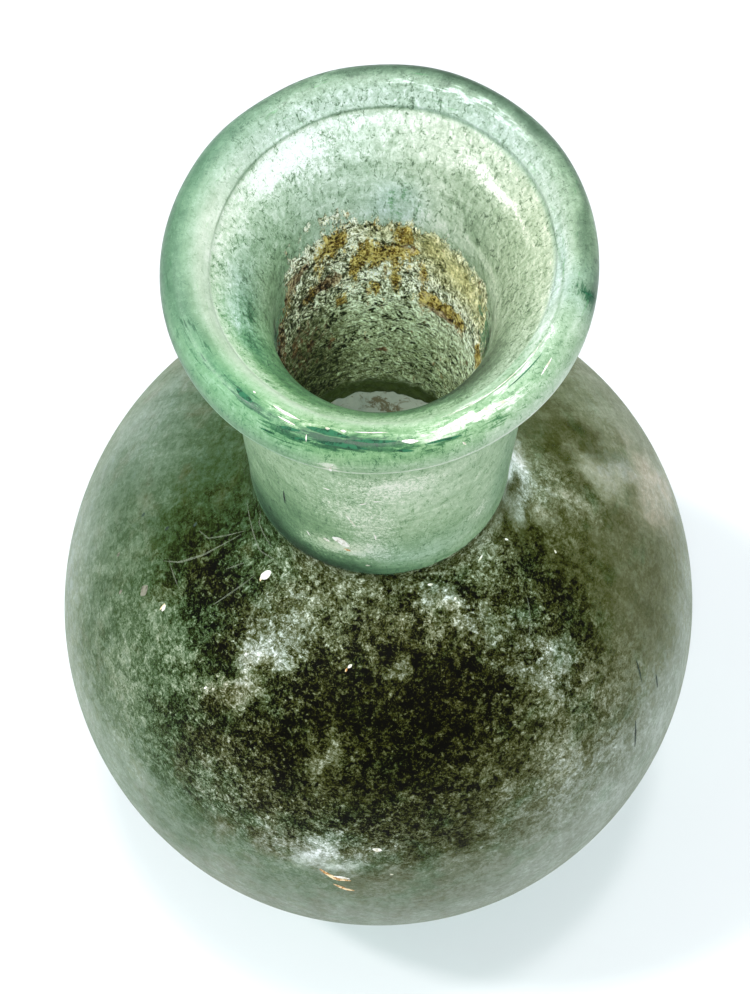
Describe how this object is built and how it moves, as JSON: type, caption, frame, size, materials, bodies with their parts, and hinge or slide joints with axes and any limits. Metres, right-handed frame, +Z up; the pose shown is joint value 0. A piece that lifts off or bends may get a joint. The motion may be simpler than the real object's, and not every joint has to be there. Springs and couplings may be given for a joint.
{
  "type": "glass perfume flask",
  "caption": "Free-blown green glass flask: a globe-shaped hollow body flattened underneath, a short thick neck and a folded collar rim around a funnel mouth.",
  "frame": {"origin": "centre of the globe's outline, on the plane that the flask rests on", "axes": "+Z up along the neck, -Y towards the side seen in the picture, +X to the right from there"},
  "size_m": [0.064, 0.064, 0.1005],
  "materials": {
    "weathered_glass": "blue-green glass, weathered to a frosted, pitted surface, with a dark dirt film inside the globe and a white and brown crust inside the neck"
  },
  "bodies": {
    "root": {"flask": "weathered_glass"}
  },
  "joints": []
}
